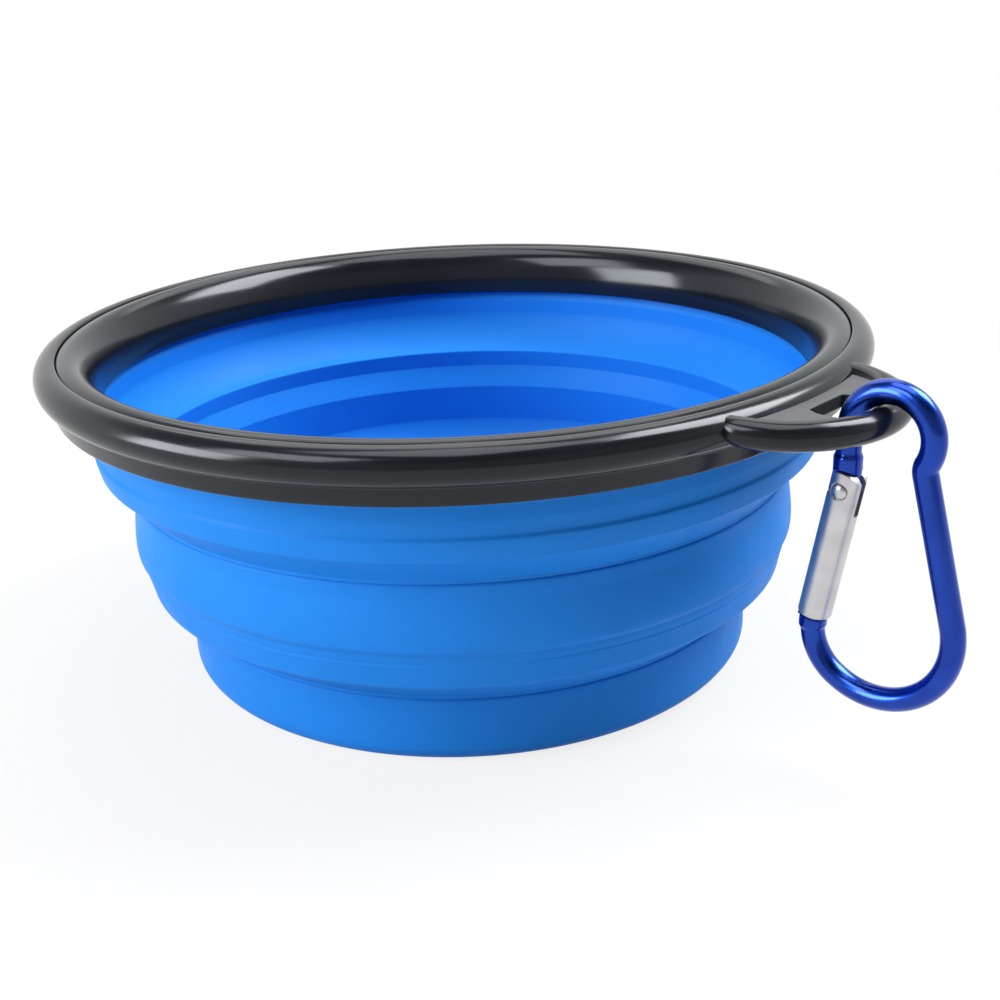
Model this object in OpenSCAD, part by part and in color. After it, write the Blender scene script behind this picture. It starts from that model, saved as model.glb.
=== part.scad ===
// Collapsible silicone bowl: three stepped tiers joined by thin folds, a two-piece clamped rim
// with a hanging lug, and a pear-shaped carabiner with a sprung gate.
// Sizes are in millimetres. The bowl stands on z = 0, its axis is Z and its lug points along +X.

/* [Bowl] */
// Outer diameter of the rim's bead
rim_d = 130; // [110:1:160]
// How far the upper tier's wall stands inside the bead's outer edge
rim_w = 7; // [6.4:0.1:8]
// How far the middle tier stands inside the upper tier
upper_step = 4.9; // [4.4:0.1:5.6]
// How far the base tier stands inside the middle tier
lower_step = 6.6; // [5.8:0.1:8]
// Height of the base tier, from the table to its fold line
base_h = 10.4; // [9:0.1:13]
// Height of the lower fold, from the base tier to the middle tier's groove
lower_fold_h = 10; // [8.5:0.1:12]
// Height of the middle tier, from its groove to its fold line
middle_h = 10.8; // [9:0.1:13]
// Height of the upper fold, from the middle tier to the upper tier's groove
upper_fold_h = 9.8; // [8.5:0.1:12]
// Height of the upper tier's bare wall, from its groove to the clamp ring
upper_h = 4.2; // [3:0.1:7]

/* [Silicone] */
// Thickness of the stiff tier walls
wall_t = 1.6; // [1.3:0.1:2]
// Thickness of the floor
floor_t = 1.8; // [1.2:0.1:3]
// Rounding of the base's lower edge
foot_round = 2.5; // [1.5:0.1:4]
// Rounding between the floor and the wall inside
floor_round = 2; // [1:0.1:3]
// Depth of the grooves at which the folds bend
groove = 0.35; // [0.2:0.05:0.5]
// How far the middle tier swells above its groove
middle_swell = 0.6; // [0:0.1:1]
// Height of that swell
swell_h = 8.1; // [6:0.1:8.4]
// Height of the band under the middle tier's groove
lower_band_h = 1.9; // [1.4:0.1:2.6]
// Height of the band under the upper tier's groove
upper_band_h = 3.6; // [2.8:0.1:4.4]
// How far each band leans in towards the fold below it
band_lean = 0.6; // [0.3:0.1:0.9]
// Upright lip at the foot of each fold
fold_lip = 0.8; // [0.4:0.1:1.4]
// Height of the lip inside each fold above its fold line
inner_lip_h = 3.1; // [2.2:0.1:3.6]
// How far that lip stands inside the tier below it
inner_lip_in = 1.2; // [0.9:0.1:1.6]
// Thickness of the thinned wall at each fold line, where it bends
hinge_t = 0.7; // [0.5:0.05:1]
// Thickness of the stiffening ring inside each tier, under its fold line
ring_t = 1.9; // [1.7:0.1:2.2]
// Height of the bevel from the fold line down to that ring
bevel_h = 4; // [3:0.1:5]
// Form of the lower fold, outside and inside: 1 is a quarter ellipse, 2 is a cone
lower_form = 1; // [0.9:0.1:2]
lower_inner_form = 1; // [0.9:0.1:1.4]
// Form of the upper fold, outside and inside: 1 is a quarter ellipse, 2 is a cone
upper_form = 1.6; // [0.9:0.1:2]
upper_inner_form = 1.4; // [0.9:0.1:1.6]
// Thickness of the flange that the two rings clamp
flange_t = 1.8; // [1.2:0.1:2.4]
// Thickness of the neck between the tier wall and the flange
neck_t = 1.2; // [1:0.1:1.6]
// Height over which the wall flares out to the neck
flare_h = 1.2; // [0.8:0.1:2]

/* [Rim rings] */
// Radius of the bead's round section
bead_r = 2.6; // [2.4:0.1:2.9]
// Height of the bead's centre above the outer ring's lower edge
bead_lift = 5.2; // [4.8:0.1:6]
// Thickness of the outer ring's ledge under the flange
ledge_t = 1.6; // [1.2:0.1:2]
// How far the skirt's lower edge stands inside the bead's outer edge
skirt_in = 2.4; // [2:0.1:2.8]
// How far the skirt leans out from its lower edge to the bead
skirt_lean = 0.5; // [0.2:0.1:0.8]
// Edge chamfer of the skirt
skirt_edge = 0.3; // [0.1:0.1:0.6]
// How far the clamp ring's inner skirt reaches below the outer ring
skirt_drop = 0.6; // [0.2:0.1:1.2]
// Thickness of the clamp ring's inner skirt
clamp_skirt_t = 0.9; // [0.7:0.1:1.2]
// Radius of the clamp ring's round top
clamp_round = 3.1; // [2.8:0.1:3.4]
// How far the seam between the two rings lies inside the bead's outer edge
seam_in = 3.4; // [3.2:0.05:3.7]
// Clearance between pieces of the rim
rim_fit = 0.1; // [0.05:0.05:0.2]
// Width of the snap bead that holds the clamp ring in the outer ring
snap_w = 0.9; // [0.6:0.1:1.2]
// Height that the snap bead stands out of the clamp ring
snap_out = 0.3; // [0.2:0.05:0.4]

/* [Lug] */
// How far the lug reaches beyond the bead
lug_reach = 12.4; // [11:0.1:16]
// How far the lug's lobe is centred inside the bead's outer edge
lug_sink = 4.8; // [3.5:0.1:6]
// How far the lug's root runs into the bead
lug_root = 1.95; // [1.6:0.05:2.2]
// Diameter of the rib round the lug's edge
rib_d = 3.9; // [3.4:0.1:4.2]
// Thickness of the lug's web
web_t = 1.8; // [1.2:0.1:2.4]
// How far the web's upper face lies below the top of the rib
web_sink = 0.95; // [0.5:0.05:1.4]
// How far the lug's hole starts beyond the bead
hole_set = 2; // [1.6:0.1:2.6]
// Width of the lug's hole
hole_w = 9.7; // [7:0.1:11]
// Width and length of the cut corners at the hole's inner edge
hole_cut_w = 0.85; // [0.4:0.05:1.4]
hole_cut_l = 1.7; // [0.6:0.1:2.4]

/* [Carabiner] */
// Diameter of the carabiner's rod
rod_d = 3.3; // [2.8:0.1:3.6]
// Radius of the upper loop, at the rod's centre
loop_r = 5.75; // [5.4:0.05:6.6]
// Play between the upper loop and the rib it hangs on
loop_play = 0.15; // [0.1:0.05:0.4]
// Angle by which the loop sits to the outer side of the rib
loop_lean = 27; // [0:1:40]
// How far the neck pinches the spine inside the upper loop's circle
neck_in = 2; // [1.2:0.1:2.8]
// Radius left in the neck's outer notch
notch_r = 0.4; // [0.2:0.1:1]
// Radius of the lower bow, at the rod's centre
bow_r = 10.85; // [10:0.05:12]
// Radius of the bow's corner on the gate's side, at the rod's centre
corner_r = 7.6; // [6.5:0.1:9]
// Angle that the corner turns before it runs into the bow
corner_turn = 70; // [55:1:80]
// Length and diameter of the collars at the ends of the rod
collar_l = 1.8; // [1:0.1:2.5]
collar_d = 3.8; // [3.6:0.05:4]

/* [Gate] */
// Distance of the gate's pivot below the centre of the upper loop
pivot_drop = 8.2; // [7.8:0.1:9.5]
// Diameter of the gate
gate_d = 4.3; // [4:0.05:4.4]
// Length of the gate below its pivot
gate_l = 19.4; // [17:0.1:22]
// Height of the gate's head above its pivot
gate_head = 2.6; // [2.4:0.1:3]
// Lean of the gate from upright
gate_tilt = 11; // [7:0.5:13]
// Edge chamfer of the gate's lower end
gate_edge = 0.25; // [0.1:0.05:0.5]
// Clearance between the gate's lower end and the carabiner's nose
nose_gap = 0.3; // [0.25:0.05:0.5]
// Length of the nose's blade inside the gate
blade_l = 3; // [2:0.1:4]
// Thickness of the pivot tongue and of the nose's blade
tongue_t = 1.3; // [1:0.1:1.5]
// Clearance of the tongue and the blade in the gate's slots
slot_play = 0.15; // [0.1:0.05:0.25]
// Distance of the tongue's flat end from the pivot
cam_drop = 1.5; // [1.35:0.05:1.6]
// Width of the tongue's flat end
cam_w = 2.4; // [1.8:0.1:2.6]
// Distance of the tongue's outer stop below the pivot
stop_drop = 1.2; // [1:0.05:1.3]
// How far the gate's cheeks are cut back on their outer side, where the tongue shows
cheek_cut = 0.95; // [0.5:0.05:1.1]
// Depth of the gate's slit below the pivot
slit_l = 3.4; // [2.6:0.1:5]
// Diameter of the rivet
rivet_d = 1.6; // [1.3:0.1:1.8]
// Diameter and thickness of the rivet's heads
head_d = 2.3; // [2:0.1:2.6]
head_t = 0.35; // [0.25:0.05:0.5]
// Depth of the heads' flat seats below the gate's side
seat_drop = 0.3; // [0.2:0.05:0.4]
// Radial clearance of the rivet in the tongue
rivet_play = 0.05; // [0.02:0.01:0.1]
// Radial clearance of the rivet in the gate's cheeks
rivet_fit = 0.02; // [0.01:0.01:0.05]

/* [Gate spring] */
// Diameter of the spring's bore in the gate
bore_d = 2; // [1.8:0.05:2.2]
// Depth of the spring's bore below the pivot
bore_l = 10.8; // [9:0.1:13]
// Clearance round the plunger and the spring
bore_play = 0.1; // [0.05:0.05:0.15]
// Length of the plunger's head
plunger_l = 1.6; // [1.2:0.1:2.2]
// Diameter and length of the plunger's stem
stem_d = 0.8; // [0.6:0.05:0.9]
stem_l = 3; // [2:0.1:4]
// Diameter of the spring's wire
wire_d = 0.3; // [0.2:0.05:0.35]
// Number of turns in the spring
spring_turns = 9; // [6:1:10]

/* [Hidden] */
$fn = 128;
eps = 0.01;
// Number of steps in a drawn curve
steps = 10;

silicone_blue = [0.14, 0.46, 0.88];
ring_black = [0.16, 0.17, 0.18];
anodised_blue = [0.08, 0.2, 0.66];
satin_silver = [0.75, 0.73, 0.75];
steel_grey = [0.6, 0.61, 0.63];

// Radii of the tiers
rim_r = rim_d / 2;
upper_r = rim_r - rim_w;
middle_r = upper_r - upper_step;
base_r = middle_r - lower_step;

// Heights of the tiers
lower_z = base_h;
middle_z = lower_z + lower_fold_h;
upper_fold_z = middle_z + middle_h;
upper_z = upper_fold_z + upper_fold_h;
clamp_z = upper_z + upper_h;

// Rim: the outer ring's ledge carries the flange, and the clamp ring sits on it
ring_z = clamp_z + skirt_drop;
ledge_z = ring_z + ledge_t;
flange_z = ledge_z + flange_t;
bead_z = ring_z + bead_lift;
bead_x = rim_r - bead_r;
clamp_in_r = upper_r - wall_t + 2 * rim_fit;
neck_in_r = clamp_in_r + clamp_skirt_t + rim_fit;
neck_out_r = neck_in_r + neck_t;
ledge_r = neck_out_r + rim_fit;
crest_x = clamp_in_r + clamp_round + 2 * rim_fit;
crest_z = bead_z + bead_r - clamp_round;
seam_r = rim_r - seam_in;
flange_r = seam_r - rim_fit;
snap_z = flange_z + snap_w;

// Lug and its rib
lug_x = rim_r - lug_sink;
rib_r = rib_d / 2;
rib_path_r = lug_sink + lug_reach - rib_r;
web_z = bead_z + rib_r - web_sink - web_t;
rib_tip = [lug_x + rib_path_r, bead_z];

// Carabiner path, in its own plane: x is outboard, y is up, and the rib's centre is the origin
rod_r = rod_d / 2;
neck_bend_r = rod_r + notch_r;
joint_l = 0.6;
joint_out = 0.03;
joint_turn = 0.6;
loop_hang = loop_r - rod_r - rib_r - loop_play;
loop_c = loop_hang * [sin(loop_lean), -cos(loop_lean)];
pivot = loop_c - [loop_r, pivot_drop];
gate_dir = [-sin(gate_tilt), -cos(gate_tilt)];
gate_side = [cos(gate_tilt), -sin(gate_tilt)];
corner_c = pivot + (gate_l + nose_gap) * gate_dir + corner_r * gate_side;
corner_start = 180 - gate_tilt;
corner_end = corner_start + corner_turn;
bow_c = corner_c - (bow_r - corner_r) * [cos(corner_end), sin(corner_end)];
// The spine is tangent to the bow and passes inside the loop's circle by neck_in
spine_off = loop_r - neck_in;
bow_to_loop = loop_c - bow_c;
spine_tilt = atan2(bow_to_loop.y, bow_to_loop.x) - acos((bow_r - spine_off) / norm(bow_to_loop));
spine_out = [cos(spine_tilt), sin(spine_tilt)];
spine_up = [-sin(spine_tilt), cos(spine_tilt)];
neck_drop = sqrt(pow(loop_r + neck_bend_r, 2) - pow(spine_off + neck_bend_r, 2));
neck_c = loop_c + (spine_off + neck_bend_r) * spine_out - neck_drop * spine_up;
neck_dir = atan2(neck_c.y - loop_c.y, neck_c.x - loop_c.x);
spine_top = neck_c - neck_bend_r * spine_out;
spine_foot = bow_c + bow_r * spine_out;

// Gate, in its own plane: the pivot is the origin and the gate runs down along -y
gate_r = gate_d / 2;
slot_w = tongue_t + 2 * slot_play;
head_play = 0.25;
blade_in = 0.3;
plunger_d = bore_d - 2 * bore_play;
plunger_y = -cam_drop - bore_play;
spring_y = plunger_y - plunger_l - wire_d / 2 - bore_play / 2;
spring_end_y = -bore_l + wire_d / 2 + bore_play / 2;
coil_r = plunger_d / 2 - wire_d / 2;
pin_edge = 0.2;
seat_z = gate_r - seat_drop;

// Points of an arc about c
function arc(c, r, from, to, n = steps) =
    [for (i = [0:n]) let (a = from + (to - from) * i / n) [c.x + r * cos(a), c.y + r * sin(a)]];

// One quarter of a fold's section, from its foot to its band, about the corner c
function fold_sweep(c, w, h, form) =
    [for (i = [0:steps]) let (t = 90 - 90 * i / steps)
        [c.x + w * pow(cos(t), form), c.y - h * pow(sin(t), form)]];

function reversed(list) = [for (i = [len(list) - 1:-1:0]) list[i]];

// Section of a fold from the tier below, radius r0 at height z0, to the groove of the tier above
module fold_section(r0, z0, r1, z1, band_h, form, inner_form) {
    band_z = z1 - band_h;
    lip_r = r0 - inner_lip_in;
    outside = concat([[r0, z0]],
                     fold_sweep([r0, band_z], r1 - band_lean - r0, band_z - z0 - fold_lip, form),
                     [[r1, z1 - groove], [r1 - groove, z1]]);
    inside = concat([[r0 - hinge_t, z0]],
                    fold_sweep([lip_r, z1], r1 - wall_t - lip_r, z1 - z0 - inner_lip_h, inner_form));
    polygon(concat(outside, reversed(inside)));
}

// Inner face of a tier of radius r, from its stiffening ring up to the thinned fold line at height z
function tier_inside(r, z) = [[r - ring_t, z - bevel_h], [r - hinge_t, z]];

module base_tier() {
    foot_c = [base_r - foot_round, foot_round];
    floor_c = [base_r - wall_t - floor_round, floor_t + floor_round];
    outside = concat([[0, 0]], arc(foot_c, foot_round, -90, 0), [[base_r, base_h]]);
    inside = concat([[0, floor_t]], arc(floor_c, floor_round, -90, 0), tier_inside(base_r, base_h));
    color(silicone_blue) rotate_extrude() polygon(concat(outside, reversed(inside)));
}

module lower_fold() {
    color(silicone_blue) rotate_extrude()
        fold_section(base_r, lower_z, middle_r, middle_z, lower_band_h, lower_form, lower_inner_form);
}

module middle_tier() {
    wall = [for (i = [0:steps]) let (s = i / steps)
            [middle_r + middle_swell * sin(180 * sqrt(s)), middle_z + groove + swell_h * s]];
    outside = concat([[middle_r - groove, middle_z]], wall, [[middle_r, upper_fold_z]]);
    inside = concat([[middle_r - wall_t, middle_z]], tier_inside(middle_r, upper_fold_z));
    color(silicone_blue) rotate_extrude() polygon(concat(outside, reversed(inside)));
}

module upper_fold() {
    color(silicone_blue) rotate_extrude()
        fold_section(middle_r, upper_fold_z, upper_r, upper_z, upper_band_h, upper_form, upper_inner_form);
}

// The wall thins to a neck that passes between the rings and ends in the clamped flange
module upper_tier() {
    outside = [[upper_r - groove, upper_z], [upper_r, upper_z + groove], [upper_r, clamp_z - flare_h],
               [neck_out_r, clamp_z], [neck_out_r, ledge_z], [flange_r, ledge_z], [flange_r, flange_z]];
    inside = [[upper_r - wall_t, upper_z], [upper_r - wall_t, clamp_z - rim_fit],
              [neck_in_r, clamp_z - rim_fit], [neck_in_r, flange_z]];
    color(silicone_blue) rotate_extrude() polygon(concat(outside, reversed(inside)));
}

// Room in the outer ring for the flange, the clamp ring and its snap bead
module clamp_room() {
    top_z = bead_z + 2 * bead_r;
    translate([0, ledge_z]) square([seam_r, top_z - ledge_z]);
    polygon([[0, snap_z - snap_w], [seam_r, snap_z - snap_w], [seam_r + snap_out, snap_z],
             [seam_r, snap_z + snap_w], [0, snap_z + snap_w]]);
}

module ring_section() {
    skirt_r = rim_r - skirt_in;
    difference() {
        union() {
            translate([bead_x, bead_z]) circle(r = bead_r);
            polygon([[ledge_r, ring_z], [skirt_r - skirt_edge, ring_z], [skirt_r, ring_z + skirt_edge],
                     [skirt_r + skirt_lean, bead_z - bead_r], [skirt_r + skirt_lean, bead_z],
                     [ledge_r, bead_z]]);
        }
        clamp_room();
    }
}

module lug() {
    difference() {
        union() {
            translate([lug_x, 0, bead_z]) rotate([0, 0, -90]) rotate_extrude(angle = 180)
                translate([rib_path_r, 0]) circle(d = rib_d);
            translate([0, 0, web_z]) linear_extrude(web_t) lug_web();
        }
        translate([0, 0, bead_z - rib_d]) cylinder(r = rim_r - lug_root, h = 2 * rib_d);
    }
}

module lug_web() {
    hole_x = rim_r + hole_set;
    difference() {
        translate([lug_x, 0]) intersection() {
            circle(r = rib_path_r);
            translate([0, -rib_path_r]) square([rib_path_r, 2 * rib_path_r]);
        }
        for (side = [-1, 1]) scale([1, side]) polygon([[hole_x, 0], [hole_x, hole_w / 2 - hole_cut_w],
            [hole_x + hole_cut_l, hole_w / 2], [rib_tip.x + eps, hole_w / 2], [rib_tip.x + eps, 0]]);
    }
}

module outer_ring() {
    color(ring_black) union() {
        rotate_extrude() ring_section();
        lug();
    }
}

module clamp_ring() {
    crest = [crest_x, crest_z];
    top = arc(crest, clamp_round, 180, acos((flange_r - crest_x) / clamp_round), 2 * steps);
    outline = concat([[clamp_in_r, clamp_z]], top,
                     [[flange_r, snap_z + snap_w], [flange_r + snap_out, snap_z], [flange_r, snap_z - snap_w],
                      [flange_r, flange_z], [clamp_in_r + clamp_skirt_t, flange_z],
                      [clamp_in_r + clamp_skirt_t, clamp_z]]);
    color(ring_black) rotate_extrude() polygon(outline);
}

// Stands a piece drawn in the carabiner's plane upright, with the rib's centre as its origin
module in_carabiner_plane() {
    translate([rib_tip.x, 0, rib_tip.y]) rotate([90, 0, 0]) children();
}

// Stands a piece drawn along the gate in the carabiner's plane
module in_gate_plane() {
    in_carabiner_plane() translate(pivot) rotate([0, 0, -gate_tilt]) children();
}

module rod_arc(c, r, from, to) {
    translate(c) rotate([0, 0, from]) rotate_extrude(angle = to - from) translate([r, 0]) circle(d = rod_d);
}

module rod_line(from, to, d) {
    run = to - from;
    translate(from) rotate([0, 0, atan2(run.y, run.x)]) rotate([0, 90, 0]) cylinder(d = d, h = norm(run));
}

// Short sleeve, a hair thicker than the rod, where two lengths of the rod run into each other
module rod_joint(at, heading) {
    translate(at) rotate([0, 0, heading]) rotate([0, 90, 0])
        cylinder(d = rod_d + 2 * joint_out, h = joint_l, center = true);
}

module carabiner_rod() {
    shoulder = pivot + [0, gate_head];
    nose = pivot + (gate_l + nose_gap) * gate_dir;
    loop_end = loop_c - [loop_r, 0];
    rod_arc(loop_c, loop_r, neck_dir, 180);
    rod_arc(neck_c, neck_bend_r, neck_dir + 180, spine_tilt + 180);
    rod_line(spine_foot, spine_top, rod_d);
    rod_arc(bow_c, bow_r, corner_end, 360 + spine_tilt);
    rod_arc(corner_c, corner_r, corner_start + joint_turn, corner_end);
    rod_line(shoulder, loop_end, rod_d);
    rod_joint(loop_end, 90);
    rod_joint(neck_c - neck_bend_r * [cos(neck_dir), sin(neck_dir)], neck_dir + 90);
    rod_joint(spine_top, spine_tilt + 90);
    rod_joint(spine_foot, spine_tilt + 90);
    rod_joint(corner_c + corner_r * [cos(corner_end), sin(corner_end)], corner_end + 90);
    rod_line(shoulder - [0, joint_l], shoulder + [0, head_play + collar_l], collar_d);
    rod_line(nose, nose + collar_l * gate_dir, collar_d);
}

// Outline of the pivot tongue. Its flat end is the cam that the plunger presses on, and its outer side is
// the stop that the gate closes against.
module tongue_outline() {
    rotate([0, 0, gate_tilt]) translate([-rod_r, 0]) square([rod_d, gate_head + collar_l]);
    polygon([[-gate_r, gate_head], [-gate_r, -stop_drop], [-cam_w / 2, -stop_drop], [-cam_w / 2, -cam_drop],
             [cam_w / 2, -cam_drop], [rod_r, 0], [0, gate_head]]);
}

module flat_plate(t) {
    translate([0, 0, -t / 2]) linear_extrude(t) children();
}

module carabiner_body() {
    blade_top = -gate_l + blade_l;
    blade_foot = -gate_l - nose_gap - collar_l / 2;
    blade_out = gate_r - slot_play;
    color(anodised_blue) union() {
        difference() {
            in_carabiner_plane() carabiner_rod();
            in_gate_plane() cylinder(r = gate_head + head_play, h = 2 * gate_d, center = true);
        }
        difference() {
            in_gate_plane() flat_plate(tongue_t) tongue_outline();
            in_gate_plane() cylinder(d = rivet_d + 2 * rivet_play, h = 2 * gate_d, center = true);
        }
        in_gate_plane() flat_plate(tongue_t)
            translate([-blade_out, blade_foot])
                square([blade_out + blade_in - slot_play, blade_top - blade_foot]);
    }
}

// Round bar with a chamfered lower end, along -y from the head's height down
module gate_bar() {
    length = gate_head + gate_l;
    translate([0, -gate_l, 0]) rotate([-90, 0, 0]) rotate_extrude()
        polygon([[0, 0], [gate_r - gate_edge, 0], [gate_r, gate_edge], [gate_r, length], [0, length]]);
}

module carabiner_gate() {
    blade_slot_y = -gate_l + blade_l + 2 * slot_play;
    stop_y = -stop_drop - slot_play;
    slit_x = -cam_w / 2 - 2 * slot_play;
    color(satin_silver) in_gate_plane() difference() {
        intersection() {
            gate_bar();
            union() {
                cylinder(r = gate_head, h = 2 * gate_d, center = true);
                translate([-gate_d, -2 * gate_l, -gate_d]) cube([2 * gate_d, 2 * gate_l, 2 * gate_d]);
            }
        }
        translate([-gate_d, stop_y, -gate_d]) cube([gate_d - gate_r + cheek_cut, 2 * gate_d, 2 * gate_d]);
        translate([-gate_d, stop_y, -slot_w / 2]) cube([2 * gate_d, 2 * gate_d, slot_w]);
        translate([slit_x, -slit_l, -slot_w / 2]) cube([2 * gate_d, slit_l, slot_w]);
        translate([-gate_d, -2 * gate_l, -slot_w / 2])
            cube([gate_d + blade_in, 2 * gate_l + blade_slot_y, slot_w]);
        cylinder(d = rivet_d + 2 * rivet_fit, h = 2 * gate_d, center = true);
        for (side = [0, 180]) rotate([0, side, 0]) translate([0, 0, seat_z])
            cylinder(d = head_d + 2 * rivet_fit, h = gate_d);
        translate([0, -bore_l, 0]) rotate([-90, 0, 0])
            cylinder(d = bore_d, h = bore_l - cam_drop + bore_play);
    }
}

// Pin with a flat chamfered head at each end, which sits in the gate's seats
module gate_rivet() {
    end_z = seat_z + head_t;
    half = [[0, end_z], [head_d / 2 - pin_edge, end_z], [head_d / 2, end_z - pin_edge], [head_d / 2, seat_z],
            [rivet_d / 2, seat_z]];
    other_half = [for (p = reversed(half)) [p.x, -p.y]];
    color(steel_grey) in_gate_plane() rotate_extrude() polygon(concat(half, other_half));
}

module spring_plunger() {
    color(steel_grey) in_gate_plane() translate([0, plunger_y, 0]) rotate([90, 0, 0]) rotate_extrude()
        polygon([[0, 0], [plunger_d / 2 - pin_edge, 0], [plunger_d / 2, pin_edge], [plunger_d / 2, plunger_l],
                 [stem_d / 2, plunger_l], [stem_d / 2, plunger_l + stem_l], [0, plunger_l + stem_l]]);
}

// One ring of points round the spring's wire, at a share s of its whole length
function wire_ring(s, sides) =
    let (turn = 360 * spring_turns * s,
         y = spring_y + (spring_end_y - spring_y) * s)
    [for (k = [0:sides - 1]) let (a = 360 * k / sides, r = coil_r + wire_d / 2 * cos(a))
        [r * cos(turn), y + wire_d / 2 * sin(a), r * sin(turn)]];

// Coil of round wire that fills the bore under the plunger
module gate_spring() {
    sides = 6;
    turn_rings = 12;
    rings = turn_rings * spring_turns;
    points = [for (i = [0:rings]) each wire_ring(i / rings, sides)];
    walls = [for (i = [0:rings - 1], k = [0:sides - 1])
             let (a = i * sides + k, b = i * sides + (k + 1) % sides)
             each [[a, b + sides, b], [a, a + sides, b + sides]]];
    caps = [[for (k = [0:sides - 1]) k], [for (k = [sides - 1:-1:0]) rings * sides + k]];
    color(steel_grey) in_gate_plane() polyhedron(points, concat(walls, caps));
}

outer_ring();
clamp_ring();
upper_tier();
upper_fold();
middle_tier();
lower_fold();
base_tier();
carabiner_body();
carabiner_gate();
gate_rivet();
gate_spring();
spring_plunger();
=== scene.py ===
"""Collapsible silicone bowl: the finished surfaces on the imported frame, a studio and the photo's camera."""
import math

import bmesh
import bpy
import numpy as np
from mathutils import Matrix, Vector


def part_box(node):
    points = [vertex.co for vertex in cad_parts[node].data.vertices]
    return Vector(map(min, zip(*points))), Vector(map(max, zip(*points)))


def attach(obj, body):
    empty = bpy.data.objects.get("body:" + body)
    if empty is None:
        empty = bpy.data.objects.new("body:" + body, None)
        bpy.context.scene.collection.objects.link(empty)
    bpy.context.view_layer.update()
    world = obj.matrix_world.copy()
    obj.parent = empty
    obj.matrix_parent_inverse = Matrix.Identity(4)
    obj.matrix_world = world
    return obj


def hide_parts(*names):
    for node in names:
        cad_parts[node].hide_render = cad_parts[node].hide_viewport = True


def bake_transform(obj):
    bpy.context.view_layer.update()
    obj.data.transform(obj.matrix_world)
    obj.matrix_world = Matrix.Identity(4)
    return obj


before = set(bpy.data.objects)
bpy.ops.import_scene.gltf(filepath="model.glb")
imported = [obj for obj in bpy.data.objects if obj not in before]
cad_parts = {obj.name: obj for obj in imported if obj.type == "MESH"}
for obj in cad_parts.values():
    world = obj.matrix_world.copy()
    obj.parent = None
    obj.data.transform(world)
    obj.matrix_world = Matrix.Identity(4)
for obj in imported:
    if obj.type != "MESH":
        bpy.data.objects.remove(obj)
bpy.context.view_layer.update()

# All shapes are worked out in millimetres and put into the meshes in metres
MM = 0.001
TAU = 2 * math.pi

# Heights of the tiers, from the frame
lower_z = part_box("base_tier")[1].z / MM
middle_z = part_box("lower_fold")[1].z / MM
upper_fold_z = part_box("middle_tier")[1].z / MM
upper_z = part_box("upper_fold")[1].z / MM
flange_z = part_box("upper_tier")[1].z / MM
clamp_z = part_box("clamp_ring")[0].z / MM
ring_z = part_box("outer_ring")[0].z / MM

# Radii of the tiers
rim_r = 65.0
upper_r = rim_r - 7.0
middle_r = upper_r - 4.9
base_r = middle_r - 6.6

# Silicone walls
wall_t = 1.6
floor_t = 1.8
foot_round = 2.5
floor_round = 2.0
groove = 0.3
valley_top = 1.2
valley_low = 1.2
valley_back = 0.6
step_in = 0.2
shoulder_round = 0.5
shoulder_h = 1.2
middle_swell = 0.6
swell_h = 8.1
lower_band_h = 1.9
upper_band_h = 4.8
band_lean = 0.5
band_swell = 0.2
lower_crease = (51.9, 15.2)
crease_round = 0.8
fold_lip = 0.5
foot_crease = 0.35
lip_round = 0.3
inner_form = 1.4
inner_lip_h = 3.1
inner_lip_in = 1.2
hinge_t = 0.7
ring_t = 2.3
ring_round = 0.5
bevel_h = 4.0
flare_h = 1.2
neck_t = 1.2
sleeve_t = 1.0
wall_lean = 0.5
two_waves = 0.10
three_waves = 0.06

# Rim rings
bead_r = 2.6
bead_z = ring_z + 5.2
bead_x = rim_r - bead_r
ledge_t = 1.6
ledge_z = ring_z + ledge_t
skirt_r = rim_r - 2.4
skirt_lean = 0.5
clamp_skirt_t = 0.9
clamp_round = 3.1
clamp_lip = 0.8
lip_h = 1.2
lip_edge = 0.5
skirt_edge = 0.35
hem_round = 0.4
undercut_h = 2.0
seam_r = rim_r - 3.4
rim_fit = 0.1
seam_round = 0.3
clamp_in_r = upper_r - wall_t + 2 * rim_fit
clamp_out_r = clamp_in_r + clamp_skirt_t
neck_in_r = clamp_out_r + rim_fit
neck_out_r = neck_in_r + neck_t
ledge_r = neck_out_r + rim_fit
flange_r = seam_r - rim_fit
crest_x = clamp_in_r + clamp_round + 2 * rim_fit
crest_z = bead_z + bead_r - clamp_round

# Lug
lug_reach = 12.4
lug_sink = 4.8
rib_r = 1.95
rib_lift = 0.25
rib_turn = math.radians(90)
rib_rise_from = math.radians(55)
rib_rise_over = math.radians(33)
rib_nose = 4.5
nose_form = 2.2
nose_raise = 0.75
web_t = 1.8
web_edge = 0.25
web_middle = 0.42
web_root = 2.0
web_least = 0.3
web_top = bead_z + rib_r - 0.95
hole_set = 2.0
hole_w = 9.7
hole_cut_w = 0.85
hole_cut_l = 1.7
lug_x = rim_r - lug_sink
rib_path_r = lug_sink + lug_reach - rib_r
rib_tip = np.array([lug_x + rib_path_r, bead_z])

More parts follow.
